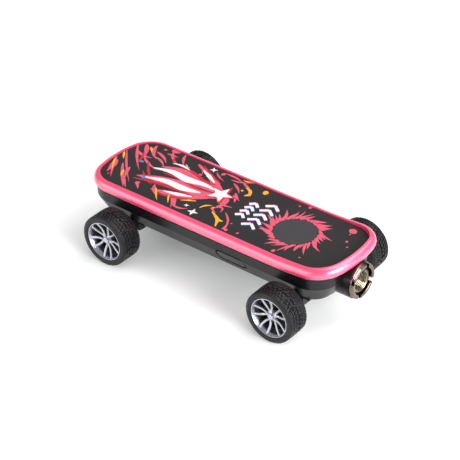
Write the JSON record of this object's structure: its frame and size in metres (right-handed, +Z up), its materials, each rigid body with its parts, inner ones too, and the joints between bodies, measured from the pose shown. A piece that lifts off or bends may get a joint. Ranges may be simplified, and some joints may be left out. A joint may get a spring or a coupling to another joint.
{
  "type": "skateboard-shaped battery handle",
  "caption": "Palm-size battery handle shaped like a skateboard: printed deck with a metallic bumper, rolling wheels, side button and threaded connector at the nose.",
  "frame": {"origin": "on the ground under the middle of the whole object", "axes": "+X towards the threaded connector, +Y to its left, +Z up"},
  "size_m": [0.1028, 0.0536, 0.0251],
  "materials": {
    "rim_pink": "satin metallic pink",
    "plate_print": "fine-textured near-black printed film",
    "adhesive": "double-sided tape",
    "window": "smooth smoked plastic",
    "module": "black LED block",
    "shell": "satin black plastic",
    "button": "satin black plastic",
    "switch": "moulded switch body",
    "plunger": "moulded plunger",
    "board": "green solder mask",
    "chips": "moulded packages",
    "steel": "bright steel",
    "black_screw": "black oxide",
    "brass": "machined brass",
    "nickel": "nickel plating",
    "insulator": "heat-resistant plastic",
    "battery": "foil pouch",
    "foam": "closed-cell foam",
    "lead_red": "silicone insulation",
    "lead_black": "silicone insulation",
    "truck": "satin black",
    "tyre": "black rubber",
    "core": "black plastic",
    "alloy": "bright silver"
  },
  "bodies": {
    "chassis": {"deck_rim": "rim_pink", "deck_plate": "plate_print", "plate_adhesive": "adhesive", "display_window": "window", "display_module": "module", "display_header": "chips", "lower_shell": "shell", "case_screws": "black_screw", "tact_switch": "switch", "main_board": "board", "board_screws": "steel", "board_chips": "chips", "charge_port": "steel", "charge_port_tongue": "chips", "battery_cell": "battery", "battery_foam": "foam", "battery_lead_positive": "lead_red", "battery_lead_negative": "lead_black", "output_lead": "lead_red", "ground_lead": "lead_black", "connector_collar": "nickel", "threaded_sleeve": "nickel", "sleeve_retaining_ring": "steel", "ground_tag": "brass", "pin_insulator": "insulator", "contact_spring": "steel", "contact_terminal": "brass", "front_truck": "truck", "rear_truck": "truck", "front_axle": "steel", "rear_axle": "steel", "truck_screws": "black_screw", "axle_clips": "steel", "axle_washers": "steel"},
    "button": {"side_button": "button", "switch_plunger": "plunger"},
    "contact_pin": {"contact_pin": "brass"},
    "wheel_front_right": {"tyre_front_right": "tyre", "wheel_core_front_right": "core", "wheel_bush_front_right": "brass", "rim_front_right": "alloy", "centre_cap_front_right": "alloy"},
    "wheel_front_left": {"tyre_front_left": "tyre", "wheel_core_front_left": "core", "wheel_bush_front_left": "brass", "rim_front_left": "alloy", "centre_cap_front_left": "alloy"},
    "wheel_rear_right": {"tyre_rear_right": "tyre", "wheel_core_rear_right": "core", "wheel_bush_rear_right": "brass", "rim_rear_right": "alloy", "centre_cap_rear_right": "alloy"},
    "wheel_rear_left": {"tyre_rear_left": "tyre", "wheel_core_rear_left": "core", "wheel_bush_rear_left": "brass", "rim_rear_left": "alloy", "centre_cap_rear_left": "alloy"}
  },
  "joints": [
    {"name": "button_press", "type": "slide", "parent": "chassis", "child": "button", "axis": [0, 1, 0], "range_m": [0, 0.0004], "stiffness_N_per_m": 600, "springref_m": -0.0008},
    {"name": "contact_pin_press", "type": "slide", "parent": "chassis", "child": "contact_pin", "axis": [-1, 0, 0], "range_m": [0, 0.0008], "stiffness_N_per_m": 400, "springref_m": -0.0008, "deforming": ["contact_spring"]},
    {"name": "wheel_front_right_roll", "type": "hinge", "parent": "chassis", "child": "wheel_front_right", "pos_m": [0.0345, -0.02245, 0.009], "axis": [0, 1, 0], "continuous": true},
    {"name": "wheel_front_left_roll", "type": "hinge", "parent": "chassis", "child": "wheel_front_left", "pos_m": [0.0345, 0.02245, 0.009], "axis": [0, 1, 0], "continuous": true},
    {"name": "wheel_rear_right_roll", "type": "hinge", "parent": "chassis", "child": "wheel_rear_right", "pos_m": [-0.0327, -0.02245, 0.009], "axis": [0, 1, 0], "continuous": true},
    {"name": "wheel_rear_left_roll", "type": "hinge", "parent": "chassis", "child": "wheel_rear_left", "pos_m": [-0.0327, 0.02245, 0.009], "axis": [0, 1, 0], "continuous": true}
  ]
}
